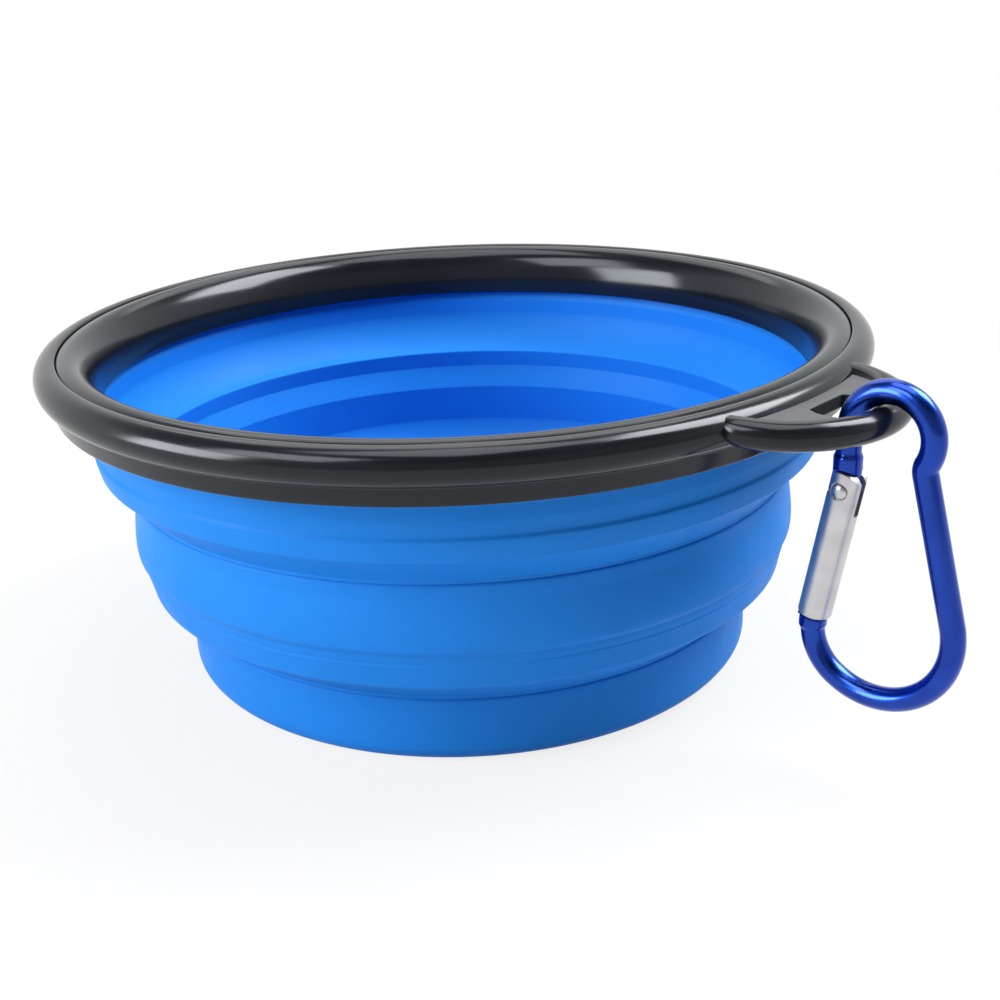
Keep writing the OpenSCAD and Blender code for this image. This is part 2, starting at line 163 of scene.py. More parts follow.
# Carabiner, in its own plane: x is outboard, y is up, and the rib's centre is the origin
rod_r = 1.65
loop_r = 5.75
loop_play = 0.15
loop_lean = math.radians(27)
neck_in = 2.0
notch_r = 0.4
bow_r = 10.85
corner_r = 7.6
corner_turn = math.radians(70)
collar_l = 1.8
collar_r = 1.9
collar_ramp = 0.5
nose_round = 0.3
pivot_drop = 8.2
gate_r = 2.3
gate_l = 19.4
gate_head = 2.6
gate_edge = 0.25
head_play = 0.25
hollow_gap = 0.02
gate_tilt = math.radians(11)
nose_gap = 0.3
blade_l = 3.0
blade_in = 0.3
tongue_t = 0.95
plate_edge = 0.12
slot_play = 0.1
cam_drop = 1.5
cam_w = 2.4
stop_drop = 1.2
cheek_cut = 0.95
slit_l = 3.4
head_d = 2.3
head_t = 0.6
head_edge = 0.05
seat_play = 0.1
seat_drop = 0.45
rivet_r = 0.8
bore_d = 2.0
bore_l = 10.8
bore_play = 0.1
plunger_l = 1.6
wire_d = 0.3
spring_turns = 9
coil_r = bore_d / 2 - bore_play - wire_d / 2
spring_top = -cam_drop - plunger_l - wire_d / 2 - 1.5 * bore_play
spring_foot = -bore_l + wire_d / 2 + bore_play / 2

# Spacings in millimetres, steps, turns and sides of the drawn surfaces, and the angle of a sharp edge
OUTLINE_STEP = 0.5
BASE_STEP = 0.9
PLATE_STEP = 0.25
ROD_STEP = 0.3
ROD_LEAST = 0.02
RIVET_STEP = 0.2
ROD_SIDES = 40
HEAD_ROWS = 12
COIL_STEPS = 24
COIL_SIDES = 10
CORNER_STEPS = 8
FOLD_STEPS = 24
TURNS = 320
RIM_TURNS = 384
SHARP = math.radians(32)


def polar(angle):
    """Unit vector at an angle in a plane."""
    return np.array([math.cos(angle), math.sin(angle)])


def arc(centre, radius, start, end, steps):
    """Points of a circle's arc: centre plus radius at angles spaced evenly from start to end, in degrees."""
    a = np.radians(np.linspace(start, end, steps + 1))
    return np.column_stack([centre[0] + radius * np.cos(a), centre[1] + radius * np.sin(a)])


def corner(before, at, after, radius):
    """Arc that rounds a corner: it touches both sides at radius / tan(half the angle) from the corner, and
    its centre lies on the bisector at radius / sin(half the angle)."""
    at = np.asarray(at, float)
    u = np.asarray(before, float) - at
    v = np.asarray(after, float) - at
    u = u / np.linalg.norm(u)
    v = v / np.linalg.norm(v)
    half = 0.5 * math.acos(float(np.clip(u @ v, -1, 1)))
    centre = at + (u + v) / np.linalg.norm(u + v) * radius / math.sin(half)
    from_centre = at + u * radius / math.tan(half) - centre
    to_centre = at + v * radius / math.tan(half) - centre
    turn = math.pi - 2 * half
    s = np.linspace(0, 1, CORNER_STEPS + 1)[:, None]
    return centre + (np.sin((1 - s) * turn) * from_centre + np.sin(s * turn) * to_centre) / math.sin(turn)


def rounded(points, radii):
    """Closed outline with each corner rounded by its radius; a radius of 0 keeps the point."""
    points = [np.asarray(p, float) for p in points]
    count = len(points)
    runs = []
    for i, radius in enumerate(radii):
        if radius:
            runs.append(corner(points[i - 1], points[i], points[(i + 1) % count], radius))
        else:
            runs.append(points[i][None])
    return np.concatenate(runs)


def spaced(outline, step, closed=True):
    """The same outline with points added along its long sides, so that none is longer than step."""
    ends = np.roll(outline, -1, axis=0) if closed else outline[1:]
    starts = outline if closed else outline[:-1]
    counts = np.maximum(1, np.ceil(np.linalg.norm(ends - starts, axis=1) / step)).astype(int)
    which = np.repeat(np.arange(len(starts)), counts)
    share = (np.arange(len(which)) - np.repeat(np.cumsum(counts) - counts, counts)) / counts[which]
    filled = starts[which] + share[:, None] * (ends - starts)[which]
    return filled if closed else np.concatenate([filled, outline[-1:]])


def fold_sweep(centre, width, height):
    """Curve of a fold's inside from its lip up to its top: width times cos and height times sin of the same
    angle, each to the power inner_form, where 1 gives a quarter ellipse and 2 a straight cone."""
    t = np.radians(np.linspace(90, 0, FOLD_STEPS + 1))
    cos = np.clip(np.cos(t), 0, 1) ** inner_form
    sin = np.sin(t) ** inner_form
    return np.column_stack([centre[0] + width * cos, centre[1] - height * sin])


def grid_faces(rows, columns, wrap_rows, wrap_columns):
    """Quads between neighbouring points of a grid, closed round where a direction wraps."""
    i = np.arange(rows if wrap_rows else rows - 1)[:, None]
    j = np.arange(columns if wrap_columns else columns - 1)[None, :]
    next_i = (i + 1) % rows
    next_j = (j + 1) % columns
    quads = np.stack(np.broadcast_arrays(i * columns + j, next_i * columns + j, next_i * columns + next_j,
                                         i * columns + next_j), axis=-1)
    return quads.reshape(-1, 4)


def fan_faces(ring, pole, flip):
    """Triangles from each side of a ring of points to its pole."""
    after = np.roll(ring, -1)
    first, second = (after, ring) if flip else (ring, after)
    return np.column_stack([first, second, np.full(len(ring), pole)])


def capped_faces(rows, sides):
    """Faces of a tube of rows of points, its ends closed by fans to the two poles that follow the rows."""
    ring = np.arange(sides)
    return [grid_faces(rows, sides, False, True), fan_faces(ring, rows * sides, True),
            fan_faces((rows - 1) * sides + ring, rows * sides + 1, False)]


def full_turn(count):
    """Angles spaced evenly round a circle."""
    return np.linspace(0, TAU, count, endpoint=False)


def new_piece(name, parts, material):
    """Object at the origin from surfaces in millimetres. Each part is (points, faces); the faces are turned
    outwards by the sign of the part's volume."""
    all_points, all_faces, count = [], [], 0
    for points, faces in parts:
        points = np.asarray(points, float).reshape(-1, 3)
        groups = faces if isinstance(faces, list) else [faces]
        volume = sum(shell_volume(points, g) for g in groups)
        for g in groups:
            g = g[:, ::-1] if volume < 0 else g
            all_faces.extend((g + count).tolist())
        all_points.append(points)
        count += len(points)
    mesh = bpy.data.meshes.new(name)
    mesh.from_pydata((np.concatenate(all_points) * MM).tolist(), [], all_faces)
    mesh.validate()
    mesh.shade_smooth()
    mesh.set_sharp_from_angle(angle=SHARP)
    mesh.materials.append(material)
    piece = bpy.data.objects.new(name, mesh)
    bpy.context.scene.collection.objects.link(piece)
    return piece


def mark(piece, name, values):
    """Named number on each point of a piece, for its material to read."""
    numbers = piece.data.attributes.new(name, "FLOAT", "POINT")
    numbers.data.foreach_set("value", np.asarray(values, np.float32))


def shell_volume(points, faces):
    """Volume inside a shell: the sum of a . (b x c) / 6 over the triangles of its faces."""
    a, b, c = points[faces[:, 0]], points[faces[:, 1]], points[faces[:, 2]]
    total = np.einsum("ij,ij->i", a, np.cross(b, c)).sum()
    if faces.shape[1] == 4:
        d = points[faces[:, 3]]
        total += np.einsum("ij,ij->i", a, np.cross(c, d)).sum()
    return total / 6


def sway(turn, z):
    """Slight set of the soft wall, in millimetres: a lean towards +Y that grows from the clamped rim to the
    table, and two slow waves round the bowl that fade out at both."""
    down = np.clip((clamp_z - z) / clamp_z, 0, 1)
    waves = two_waves * np.sin(2 * turn + 0.7) + three_waves * np.sin(3 * turn + 2.1 + 0.05 * z)
    return wall_lean * down * np.sin(turn) + waves * down * np.clip(z / lower_z, 0, 1)


def revolve(outline, soft=False, turns=TURNS):
    """Closed outline of (radius, height) carried round the Z axis: x = r cos a, y = r sin a."""
    a = full_turn(turns)[:, None]
    r = outline[:, 0][None, :]
    z = np.broadcast_to(outline[:, 1][None, :], (turns, len(outline)))
    if soft:
        r = r + sway(a, z)
    points = np.stack([r * np.cos(a), r * np.sin(a), z], axis=-1)
    return points, grid_faces(turns, len(outline), True, True)


def revolve_capped(outline):
    """Open outline that starts and ends on the Z axis, carried round it, with its two poles closed by fans.
    The sway of the soft wall fades out towards the axis."""
    inner = outline[1:-1]
    a = full_turn(TURNS)[:, None]
    r = inner[:, 0][None, :]
    z = np.broadcast_to(inner[:, 1][None, :], (TURNS, len(inner)))
    r = r + sway(a, z) * np.clip(r / base_r, 0, 1)
    points = np.stack([r * np.cos(a), r * np.sin(a), z], axis=-1).reshape(-1, 3)
    poles = np.array([[0, 0, outline[0, 1]], [0, 0, outline[-1, 1]]])
    ring = np.arange(TURNS) * len(inner)
    faces = [grid_faces(TURNS, len(inner), True, False),
             fan_faces(ring, len(points), False),
             fan_faces(ring + len(inner) - 1, len(points) + 1, True)]
    return np.concatenate([points, poles]), faces


def tube(path, across, upright, radii, sides):
    """Round rod: at each point of the path a circle of the given radius in the plane of its two side
    directions, with both ends closed by a fan."""
    a = full_turn(sides)
    ring = np.cos(a)[None, :, None] * across[:, None] + np.sin(a)[None, :, None] * upright[:, None]
    points = path[:, None] + np.asarray(radii)[:, None, None] * ring
    poles = np.stack([path[0], path[-1]])
    return np.concatenate([points.reshape(-1, 3), poles]), capped_faces(len(path), sides)


# Materials

# Where a noise starts and ends to change the tone
RAMP_ENDS = (0.35, 0.65)


def add_node(tree, kind, **values):
    """New node; a value named like one of its inputs is set on that socket, and any other on the node."""
    node = tree.nodes.new(kind)
    for key, value in values.items():
        if key in node.inputs:
            node.inputs[key].default_value = value
        else:
            setattr(node, key, value)
    return node


def node_material(name):
    """Empty node material with its tree and its Principled shader."""
    material = bpy.data.materials.new(name)
    material.use_nodes = True
    tree = material.node_tree
    return material, tree, tree.nodes["Principled BSDF"]


def noise(tree, scale, detail, stretch=None, turn=None):
    """Noise on Object coordinates, in repeats per metre, stretched and turned by a Mapping node if asked."""
    source = add_node(tree, "ShaderNodeTexCoord").outputs["Object"]
    if stretch:
        mapping = add_node(tree, "ShaderNodeMapping", Scale=stretch, Rotation=turn)
        tree.links.new(source, mapping.inputs["Vector"])
        source = mapping.outputs["Vector"]
    texture = add_node(tree, "ShaderNodeTexNoise", Scale=scale, Detail=detail)
    tree.links.new(source, texture.inputs["Vector"])
    return texture.outputs["Fac"]


def ramp(tree, source, low, high):
    """Value or colour that runs from low to high over the middle of the source's range."""
    node = add_node(tree, "ShaderNodeValToRGB")
    for element, place, value in zip(node.color_ramp.elements, RAMP_ENDS, (low, high)):
        element.position = place
        element.color = (*value, 1) if isinstance(value, tuple) else (value, value, value, 1)
    tree.links.new(source, node.inputs["Fac"])
    return node.outputs["Color"]


def bump(tree, shader, layers):
    """Chain of bump nodes: each layer is (height source, strength, depth in metres)."""
    last = None
    for height, strength, depth in layers:
        node = add_node(tree, "ShaderNodeBump", Strength=strength, Distance=depth)
        tree.links.new(height, node.inputs["Height"])
        if last:
            tree.links.new(last.outputs["Normal"], node.inputs["Normal"])
        last = node
    tree.links.new(last.outputs["Normal"], shader.inputs["Normal"])


def link_look(tree, shader, tone, rough):
    """Links a tone and a roughness to the shader."""
    tree.links.new(tone, shader.inputs["Base Color"])
    tree.links.new(rough, shader.inputs["Roughness"])


def silicone_material():
    """Blue silicone: satin, slightly uneven in tone, with a fine moulded grain."""
    material, tree, shader = node_material("blue_silicone")
    tone = ramp(tree, noise(tree, 28, 4), (0.011, 0.178, 0.60), (0.014, 0.194, 0.645))
    rough = ramp(tree, noise(tree, 160, 3), 0.44, 0.54)
    link_look(tree, shader, tone, rough)
    shader.inputs["Specular IOR Level"].default_value = 0.08
    shader.inputs["Subsurface Weight"].default_value = 0.06
    shader.inputs["Subsurface Radius"].default_value = (0.3, 0.6, 1.0)
    shader.inputs["Subsurface Scale"].default_value = 0.001
    bump(tree, shader, [(noise(tree, 60, 2), 0.05, 0.0006), (noise(tree, 2600, 2), 0.06, 0.00006)])
    return material


def attribute_mix(tree, name, plain, marked):
    """Colour or value of a marked place, mixed in by the piece's own attribute. The node's colours are its
    inputs 6 and 7 and its output 2."""
    place = add_node(tree, "ShaderNodeAttribute", attribute_name=name)
    mix = add_node(tree, "ShaderNodeMix", data_type="RGBA")
    tree.links.new(place.outputs["Fac"], mix.inputs[0])
    tree.links.new(plain, mix.inputs[6])
    tree.links.new(marked, mix.inputs[7])
    return mix.outputs[2]


def rim_material():
    """Black moulded plastic: soft gloss over a fine grain, a little duller in patches, with a slight blue
    cast in its tone and gloss that is painted reflection of the blue bowl. The lug's web has a rougher satin
    grain and a grey tone that is painted sheen; the wall of its hole is rougher still, with a near-black tone
    that is painted shade."""
    material, tree, shader = node_material("black_rim")
    patches = noise(tree, 45, 4)
    grain = noise(tree, 3200, 2)
    # The black tone's slight blue cast is painted reflection of the blue bowl.
    tone = ramp(tree, patches, (0.005, 0.0058, 0.0078), (0.0075, 0.0088, 0.0115))
    # Grey tone of the lug's web: painted sheen of light on its satin face; its rougher grain is real.
    web_painted_sheen_tone = ramp(tree, grain, (0.054, 0.054, 0.055), (0.080, 0.080, 0.081))
    # Near-black tone of the hole's wall: painted shade.
    hole_painted_shade_tone = ramp(tree, grain, (0.002, 0.002, 0.002), (0.004, 0.004, 0.004))
    tone = attribute_mix(tree, "satin", tone, web_painted_sheen_tone)
    tone = attribute_mix(tree, "hole", tone, hole_painted_shade_tone)
    rough = ramp(tree, noise(tree, 70, 4), 0.14, 0.20)
    rough = attribute_mix(tree, "satin", rough, ramp(tree, grain, 0.42, 0.52))
    rough = attribute_mix(tree, "hole", rough, ramp(tree, grain, 0.85, 0.95))
    link_look(tree, shader, tone, rough)
    shader.inputs["Specular IOR Level"].default_value = 0.36
    # Bluish specular tint: painted reflection of the blue bowl in the black plastic.
    shader.inputs["Specular Tint"].default_value = (0.88, 0.94, 1.0, 1.0)
    bump(tree, shader, [(noise(tree, 90, 2), 0.05, 0.0004), (grain, 0.08, 0.00005)])
    return material


def anodised_material():
    """Blue anodised aluminium: deep metallic blue under a clear glossy layer, faintly uneven."""
    material, tree, shader = node_material("blue_anodised")
    tone = ramp(tree, noise(tree, 180, 3), (0.006, 0.040, 0.33), (0.009, 0.052, 0.39))
    rough = ramp(tree, noise(tree, 420, 3), 0.22, 0.28)
    link_look(tree, shader, tone, rough)
    shader.inputs["Metallic"].default_value = 1.0
    shader.inputs["Coat Weight"].default_value = 0.35
    shader.inputs["Coat Roughness"].default_value = 0.1
    bump(tree, shader, [(noise(tree, 900, 2), 0.05, 0.00008)])
    return material


def gate_material():
    """Bare satin aluminium with fine lines along the gate and slight staining."""
    material, tree, shader = node_material("satin_aluminium")
    lines = noise(tree, 900, 3, stretch=(1.0, 1.0, 0.03), turn=(0, gate_tilt, 0))
    tone = ramp(tree, noise(tree, 300, 4), (0.53, 0.52, 0.53), (0.61, 0.60, 0.61))
    rough = ramp(tree, lines, 0.33, 0.41)
    link_look(tree, shader, tone, rough)
    shader.inputs["Metallic"].default_value = 1.0
    bump(tree, shader, [(lines, 0.12, 0.00005)])
    return material


def steel_material():
    """Plain steel of the rivet, the spring and the plunger, with a fine grain."""
    material, tree, shader = node_material("plain_steel")
    tone = ramp(tree, noise(tree, 500, 3), (0.48, 0.49, 0.50), (0.60, 0.60, 0.61))
    rough = ramp(tree, noise(tree, 1500, 2), 0.22, 0.34)
    link_look(tree, shader, tone, rough)
    shader.inputs["Metallic"].default_value = 1.0
    bump(tree, shader, [(noise(tree, 2200, 2), 0.1, 0.00004)])
    return material


silicone = silicone_material()
black_plastic = rim_material()
anodised = anodised_material()
satin_aluminium = gate_material()
steel = steel_material()


# Silicone tiers and folds

def valley(height):
    """Depth of the soft groove at a height from a tier's border: it deepens downwards along half a cosine
    wave, and returns along a shorter one to the fold's band."""
    fall = np.clip((valley_top - height) / (valley_top + valley_low), 0, 1)
    back = np.clip((-valley_low - height) / valley_back, 0, 1)
    return groove * 0.5 * (np.cos(math.pi * back) - np.cos(math.pi * fall))


def fold_outline(r0, z0, r1, z1, band_h, creases, top_t):
    """Section of a fold between two tiers: outside an upright foot behind the lower tier's shoulder, a
    sloping underside with soft creases and a leaning, slightly swollen band that ends in the groove; inside,
    a curve down to the lip and a slope back to the fold line."""
    foot_r = r0 - step_in
    lip_r = r0 - inner_lip_in
    points = [(foot_r, z0), (foot_r, z0 + fold_lip)] + creases + [(r1 - band_lean, z1 - band_h), (r1, z1)]
    under = rounded(points, [0, foot_crease] + [crease_round] * (len(creases) + 1) + [0])[:-1]
    inside = fold_sweep((lip_r, z1), r1 - top_t - lip_r, z1 - z0 - inner_lip_h)[::-1]
    s = np.linspace(0, 1, 32)[1:]
    z = under[-1, 1] + (z1 - under[-1, 1]) * s
    r = under[-1, 0] + (r1 - under[-1, 0]) * s + band_swell * np.sin(math.pi * s) - valley(z - z1)
    lip = corner(inside[-4], inside[-1], (r0 - hinge_t, z0), lip_round)
    outline = np.concatenate([under, np.column_stack([r, z]), inside[:-4], lip, [[r0 - hinge_t, z0]]])
    return spaced(outline, OUTLINE_STEP)


def tier_inside(r, z):
    """Inner face of a tier: stiffening ring with a rounded edge, then the bevel up to the thin fold line."""
    ring = (r - ring_t, z - bevel_h)
    return np.concatenate([corner((r - wall_t, z - 2 * bevel_h), ring, (r - hinge_t, z), ring_round),
                           [[r - hinge_t, z]]])


def shoulder(r, z):
    """Rounded outer edge at a tier's top."""
    return corner((r, z - 1), (r, z), (r - 1, z), shoulder_round)


def base_outline():
    """Section of the base from the axis out, up its wall and back over its floor to the axis."""
    foot = arc((base_r - foot_round, foot_round), foot_round, -90, 0, 14)
    sole = arc((base_r - wall_t - floor_round, floor_t + floor_round), floor_round, -90, 0, 12)
    outline = np.concatenate([[[0, 0]], foot, shoulder(base_r, lower_z), tier_inside(base_r, lower_z)[::-1],
                              sole[::-1], [[0, floor_t]]])
    return spaced(outline, BASE_STEP, closed=False)


def middle_outline():
    """Section of the middle tier, which swells above the groove by a sine of the height's square root."""
    z = np.linspace(middle_z, upper_fold_z - shoulder_h, 60)
    s = np.clip((z - middle_z - groove) / swell_h, 0, 1)
    hold = valley(z - middle_z)
    r = middle_r + middle_swell * np.sin(math.pi * np.sqrt(s)) * (1 - hold / groove) - hold
    outline = np.concatenate([np.column_stack([r, z]), shoulder(middle_r, upper_fold_z),
                              tier_inside(middle_r, upper_fold_z)[::-1], [[middle_r - wall_t, middle_z]]])
    return spaced(outline, OUTLINE_STEP)


def upper_outline():
    """Section of the upper tier: bare wall above the groove, flare to the neck and the flange that the rings
    clamp; inside, it draws back under the clamp ring along half a cosine wave."""
    z = np.linspace(upper_z, upper_z + valley_top, 12)
    wall = np.column_stack([upper_r - valley(z - upper_z), z])
    points = [wall[-1], (upper_r, clamp_z - flare_h), (neck_out_r, clamp_z), (neck_out_r, ledge_z),
              (flange_r, ledge_z), (flange_r, flange_z), (neck_in_r, flange_z), (neck_in_r, clamp_z)]
    sleeve = rounded(points, [0, 0.6, 0.2, 0.1, 0.2, 0.2, 0.2, 0])[1:]
    u = np.linspace(0, 1, 16)
    in_r = upper_r - sleeve_t
    back_r = neck_in_r - (neck_in_r - in_r) * 0.5 * (1 - np.cos(math.pi * u))
    back = np.column_stack([back_r, clamp_z - undercut_h * u])
    return spaced(np.concatenate([wall, sleeve, back[1:], [[in_r, upper_z]]]), OUTLINE_STEP)


def soft_piece(name, outline):
    """Silicone piece from a closed outline."""
    return new_piece(name, [revolve(outline, soft=True)], silicone)


base_tier = new_piece("base_wall_and_floor", [revolve_capped(base_outline())], silicone)
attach(base_tier, "base")
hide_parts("base_tier")

lower_fold = soft_piece("lower_folding_wall", fold_outline(
    base_r, lower_z, middle_r, middle_z, lower_band_h, [lower_crease], wall_t))
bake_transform(lower_fold)
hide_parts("lower_fold")

middle_tier = soft_piece("middle_wall", middle_outline())
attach(middle_tier, "middle")
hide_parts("middle_tier")

upper_fold = soft_piece("upper_folding_wall", fold_outline(
    middle_r, upper_fold_z, upper_r, upper_z, upper_band_h, [], sleeve_t))
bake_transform(upper_fold)
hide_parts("upper_fold")

upper_tier = soft_piece("upper_wall_and_flange", upper_outline())
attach(upper_tier, "rim")
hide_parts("upper_tier")


# Rim rings and lug

def clamp_outline():
    """Section of the clamp ring: thin skirt with a proud lip into the bowl, a roll from the lip to the crest
    along a quarter ellipse, a round crest, and a wall down to the flange at the seam."""
    crest_end = math.degrees(math.acos((flange_r - crest_x) / clamp_round))
    crest = arc((crest_x, crest_z), clamp_round, 90, crest_end, 24)
    lip_r = clamp_in_r - clamp_lip
    t = np.radians(np.linspace(180, 90, 33))[:-1]
    lip_z = clamp_z + lip_h
    roll = np.column_stack([crest_x + (crest_x - lip_r) * np.cos(t),
                            lip_z + (crest[0, 1] - lip_z) * np.sin(t)])
    seam = corner(crest[-4], crest[-1], (flange_r, flange_z), seam_round)
    lip = corner((clamp_out_r, clamp_z), (lip_r, clamp_z), roll[0], lip_edge)
    skirt_out = corner((clamp_out_r, flange_z), (clamp_out_r, clamp_z), (lip_r, clamp_z), skirt_edge)
    outline = np.concatenate([skirt_out, lip, roll, crest[:-4], seam, [[flange_r, flange_z]],
                              [[clamp_out_r, flange_z]]])
    return spaced(outline, OUTLINE_STEP)


def ring_outline():
    """Section of the outer ring: ledge under the flange, leaning skirt, round bead and wall at the seam."""
    skirt_top = skirt_r + skirt_lean
    low = math.degrees(math.asin((skirt_top - bead_x) / bead_r)) - 90
    high = math.degrees(math.acos((seam_r - bead_x) / bead_r))
    bead = arc((bead_x, bead_z), bead_r, low, high, 64)
    waist = corner((skirt_r, ring_z), bead[0], bead[5], hem_round)
    seam = corner(bead[-4], bead[-1], (seam_r, ledge_z), seam_round)
    hem = corner((ledge_r, ring_z), (skirt_r, ring_z), bead[0], hem_round)
    outline = np.concatenate([[[ledge_r, ring_z]], hem, waist, bead[6:-4], seam, [[seam_r, ledge_z]],
                              [[ledge_r, ledge_z]]])
    return spaced(outline, OUTLINE_STEP)


def lug_rib():
    """Rib round the lug's edge: part of a circle about the lug's centre that rises a little on to the bead.
    Each end is a bullet nose, whose radius falls along a rounded ellipse while its top line stays nearly
    level."""
    a = np.linspace(-rib_turn, rib_turn, 220)
    nose = rib_nose / rib_path_r
    tip = nose * (1 - np.cos(np.radians(np.linspace(0, 90, 24))))
    a = np.concatenate([a[0] + tip, a[np.abs(a) < rib_turn - tip[-1] - 0.005], a[-1] - tip[::-1]])
    rise = np.clip((np.abs(a) - rib_rise_from) / rib_rise_over, 0, 1)
    short = np.clip(1 - (rib_turn - np.abs(a)) / nose, 0, 1)
    radii = rib_r * np.maximum(1 - short ** nose_form, 0.003) ** (1 / nose_form)
    z = bead_z + rib_lift * rise * rise * (3 - 2 * rise) + nose_raise * (rib_r - radii)
    path = np.column_stack([lug_x + rib_path_r * np.cos(a), rib_path_r * np.sin(a), z])
    across = np.column_stack([np.cos(a), np.sin(a), np.zeros_like(a)])
    upright = np.tile([0.0, 0.0, 1.0], (len(a), 1))
    return tube(path, across, upright, radii, ROD_SIDES)


def lug_web():
    """Web round the lug's hole, on rays from the hole's middle: each ray runs from the hole's edge, the
    nearest of its straight sides, to the bead or the rib, the nearer circle. Its section is a plate with
    rounded edges at the hole."""
    hole_x = rim_r + hole_set
    middle = np.array([hole_x + web_middle * (rib_tip[0] - rim_r - hole_set), 0.0])
    a = full_turn(360)
    ray = np.column_stack([np.cos(a), np.sin(a)])
    cut = np.array([hole_cut_w, hole_cut_l]) / math.hypot(hole_cut_w, hole_cut_l)
    cut_far = cut @ (np.array([-hole_x, hole_w / 2 - hole_cut_w]) + middle * [1, 0])
    sides = [((-1, 0), middle[0] - hole_x), ((1, 0), rib_tip[0] - middle[0]), ((0, 1), hole_w / 2),
             ((0, -1), hole_w / 2), ((-cut[0], cut[1]), cut_far), ((-cut[0], -cut[1]), cut_far)]
    facing = np.stack([ray @ np.array(n) for n, d in sides])
    reach = np.array([d for n, d in sides])[:, None]
    near = np.min(np.where(facing > 1e-6, reach / np.maximum(facing, 1e-6), 1e9), axis=0)

    def to_circle(centre, radius, inside):
        offset = middle - centre
        b = ray @ offset
        gap = b * b - (offset @ offset - radius * radius)
        root = np.sqrt(np.maximum(gap, 0))
        far = -b + root if inside else -b - root
        return np.where((gap > 0) & (far > 0), far, 1e9)

    far = np.minimum(to_circle(np.array([lug_x, 0.0]), rib_path_r, True),
                     to_circle(np.zeros(2), rim_r - web_root, False))
    near = np.minimum(near, far - web_least)
    half = web_t / 2
    rim = corner((1, half), (0, half), (0, -half), web_edge)
    rim_low = corner((0, half), (0, -half), (1, -half), web_edge)
    section = np.concatenate([rim, rim_low])
    flat = np.linspace(0, 1, 9)[1:]
    inset = np.concatenate([section[:, 0], web_edge * (1 - flat), web_edge * (1 - flat[::-1])])
    level = np.concatenate([section[:, 1], np.full(8, -half), np.full(8, half)])
    outer = np.concatenate([np.zeros(len(section)), flat, flat[::-1]])
    r = near[:, None] + inset[None, :] + outer[None, :] * (far - near)[:, None]
    z = np.broadcast_to(web_top - half + level, r.shape)
    points = np.stack([middle[0] + r * ray[:, :1], r * ray[:, 1:], z], axis=-1)
    wall = np.tile(np.abs(level) < half - 0.02, len(a))
    return points, grid_faces(len(a), len(inset), True, True), wall


ring_shell = revolve(ring_outline(), turns=RIM_TURNS)
rib_shell = lug_rib()
web_points, web_faces, hole_wall = lug_web()
outer_ring = new_piece("outer_ring_with_lug", [ring_shell, rib_shell, (web_points, web_faces)],
                       black_plastic)
plain = np.zeros(ring_shell[0].size // 3 + len(rib_shell[0]))
# satin marks the web: a real rougher satin grain, and a grey tone that is painted sheen.
mark(outer_ring, "satin", np.concatenate([plain, np.where(hole_wall, 0.0, 1.0)]))
# hole marks the hole's wall: a rougher finish, and a near-black tone that is painted shade.
mark(outer_ring, "hole", np.concatenate([plain, np.where(hole_wall, 1.0, 0.0)]))
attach(outer_ring, "rim")
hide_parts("outer_ring")

clamp_shell = revolve(clamp_outline(), turns=RIM_TURNS)
clamp_ring = new_piece("inner_clamp_ring", [clamp_shell], black_plastic)
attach(clamp_ring, "rim")
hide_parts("clamp_ring")


# Carabiner path, worked out from its sizes as for a drawing

neck_bend_r = rod_r + notch_r
loop_c = (loop_r - rod_r - rib_r - loop_play) * np.array([math.sin(loop_lean), -math.cos(loop_lean)])
pivot = loop_c - np.array([loop_r, pivot_drop])
gate_dir = np.array([-math.sin(gate_tilt), -math.cos(gate_tilt)])
gate_side = np.array([math.cos(gate_tilt), -math.sin(gate_tilt)])
nose = pivot + (gate_l + nose_gap) * gate_dir
corner_c = nose + corner_r * gate_side
corner_start = math.pi - gate_tilt
corner_end = corner_start + corner_turn
bow_c = corner_c - (bow_r - corner_r) * polar(corner_end)
spine_off = loop_r - neck_in
bow_to_loop = loop_c - bow_c
spine_turn = math.acos((bow_r - spine_off) / np.linalg.norm(bow_to_loop))
spine_tilt = math.atan2(bow_to_loop[1], bow_to_loop[0]) - spine_turn
spine_out = polar(spine_tilt)
spine_up = np.array([-spine_out[1], spine_out[0]])
neck_drop = math.sqrt((loop_r + neck_bend_r) ** 2 - (spine_off + neck_bend_r) ** 2)
neck_c = loop_c + (spine_off + neck_bend_r) * spine_out - neck_drop * spine_up
neck_dir = math.atan2(neck_c[1] - loop_c[1], neck_c[0] - loop_c[0])
shoulder_y = gate_head + head_play


def stood_up(flat, side):
    """Points drawn in the carabiner's plane, stood upright at the lug: x goes outboard, y up, and side along
    the bowl's -Y."""
    x = flat[..., 0]
    return np.stack([rib_tip[0] + x, -np.broadcast_to(side, x.shape), rib_tip[1] + flat[..., 1]], axis=-1)


def along_gate(x, y):
    """Point of the gate's own plane, with the pivot as its origin and y up along the gate, in the carabiner's
    plane."""
    return pivot + np.asarray(x)[..., None] * gate_side - np.asarray(y)[..., None] * gate_dir


def rod_path():
    """The rod's centre line from the gate's pivot end to its nose: line, loop, neck, spine, bow and corner,
    each of which starts in the direction in which the one before it ends."""
    degrees = math.degrees
    runs = [np.array([pivot + [0, shoulder_y], loop_c - [loop_r, 0]]),
            arc(loop_c, loop_r, 180, degrees(neck_dir), 90),
            arc(neck_c, neck_bend_r, degrees(neck_dir) + 180, degrees(spine_tilt) + 180, 20),
            np.array([neck_c - neck_bend_r * spine_out, bow_c + bow_r * spine_out]),
            arc(bow_c, bow_r, degrees(spine_tilt) + 360, degrees(corner_end), 110),
            arc(corner_c, corner_r, degrees(corner_end), degrees(corner_start), 36)]
    path = spaced(np.concatenate([run[:-1] for run in runs] + [runs[-1][-1:]]), ROD_STEP, closed=False)
    keep = np.concatenate([[True], np.linalg.norm(np.diff(path, axis=0), axis=1) > ROD_LEAST])
    return path[keep]


